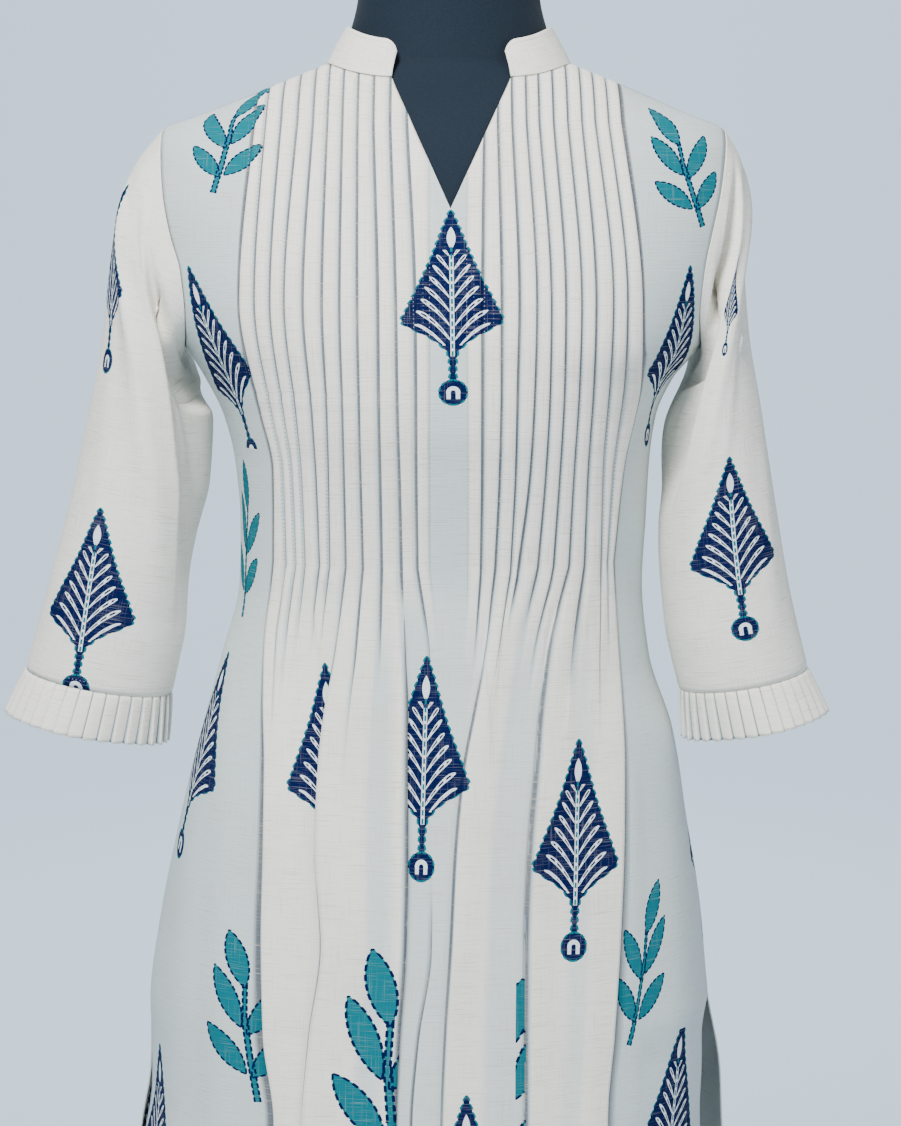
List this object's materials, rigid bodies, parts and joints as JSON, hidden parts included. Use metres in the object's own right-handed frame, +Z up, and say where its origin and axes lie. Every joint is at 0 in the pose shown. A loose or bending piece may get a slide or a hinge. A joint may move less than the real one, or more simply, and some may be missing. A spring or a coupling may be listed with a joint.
{
  "type": "kurta tunic on dress form",
  "caption": "Women's knee-length handloom kurta tunic with tucked yoke, V neck, band collar and frilled three-quarter sleeves, on a limbless dress form with a round stand.",
  "frame": {"origin": "centre of the stand foot's underside, on the floor", "axes": "+Z up along the pole, -Y to the front of the garment, +X to the wearer's left"},
  "size_m": [0.5482, 0.36, 1.465],
  "materials": {
    "handloom_cotton": "plain-weave handloom cotton with slubs and scattered block prints",
    "dark_jersey": "dark knitted jersey stretched over the form",
    "satin_steel": "satin brushed steel"
  },
  "bodies": {
    "root": {"front": "handloom_cotton", "back": "handloom_cotton", "sleeve_right": "handloom_cotton", "sleeve_left": "handloom_cotton", "frill_right": "handloom_cotton", "frill_left": "handloom_cotton", "collar": "handloom_cotton", "form_body": "dark_jersey", "form_pole": "satin_steel", "form_foot": "satin_steel"}
  },
  "joints": []
}
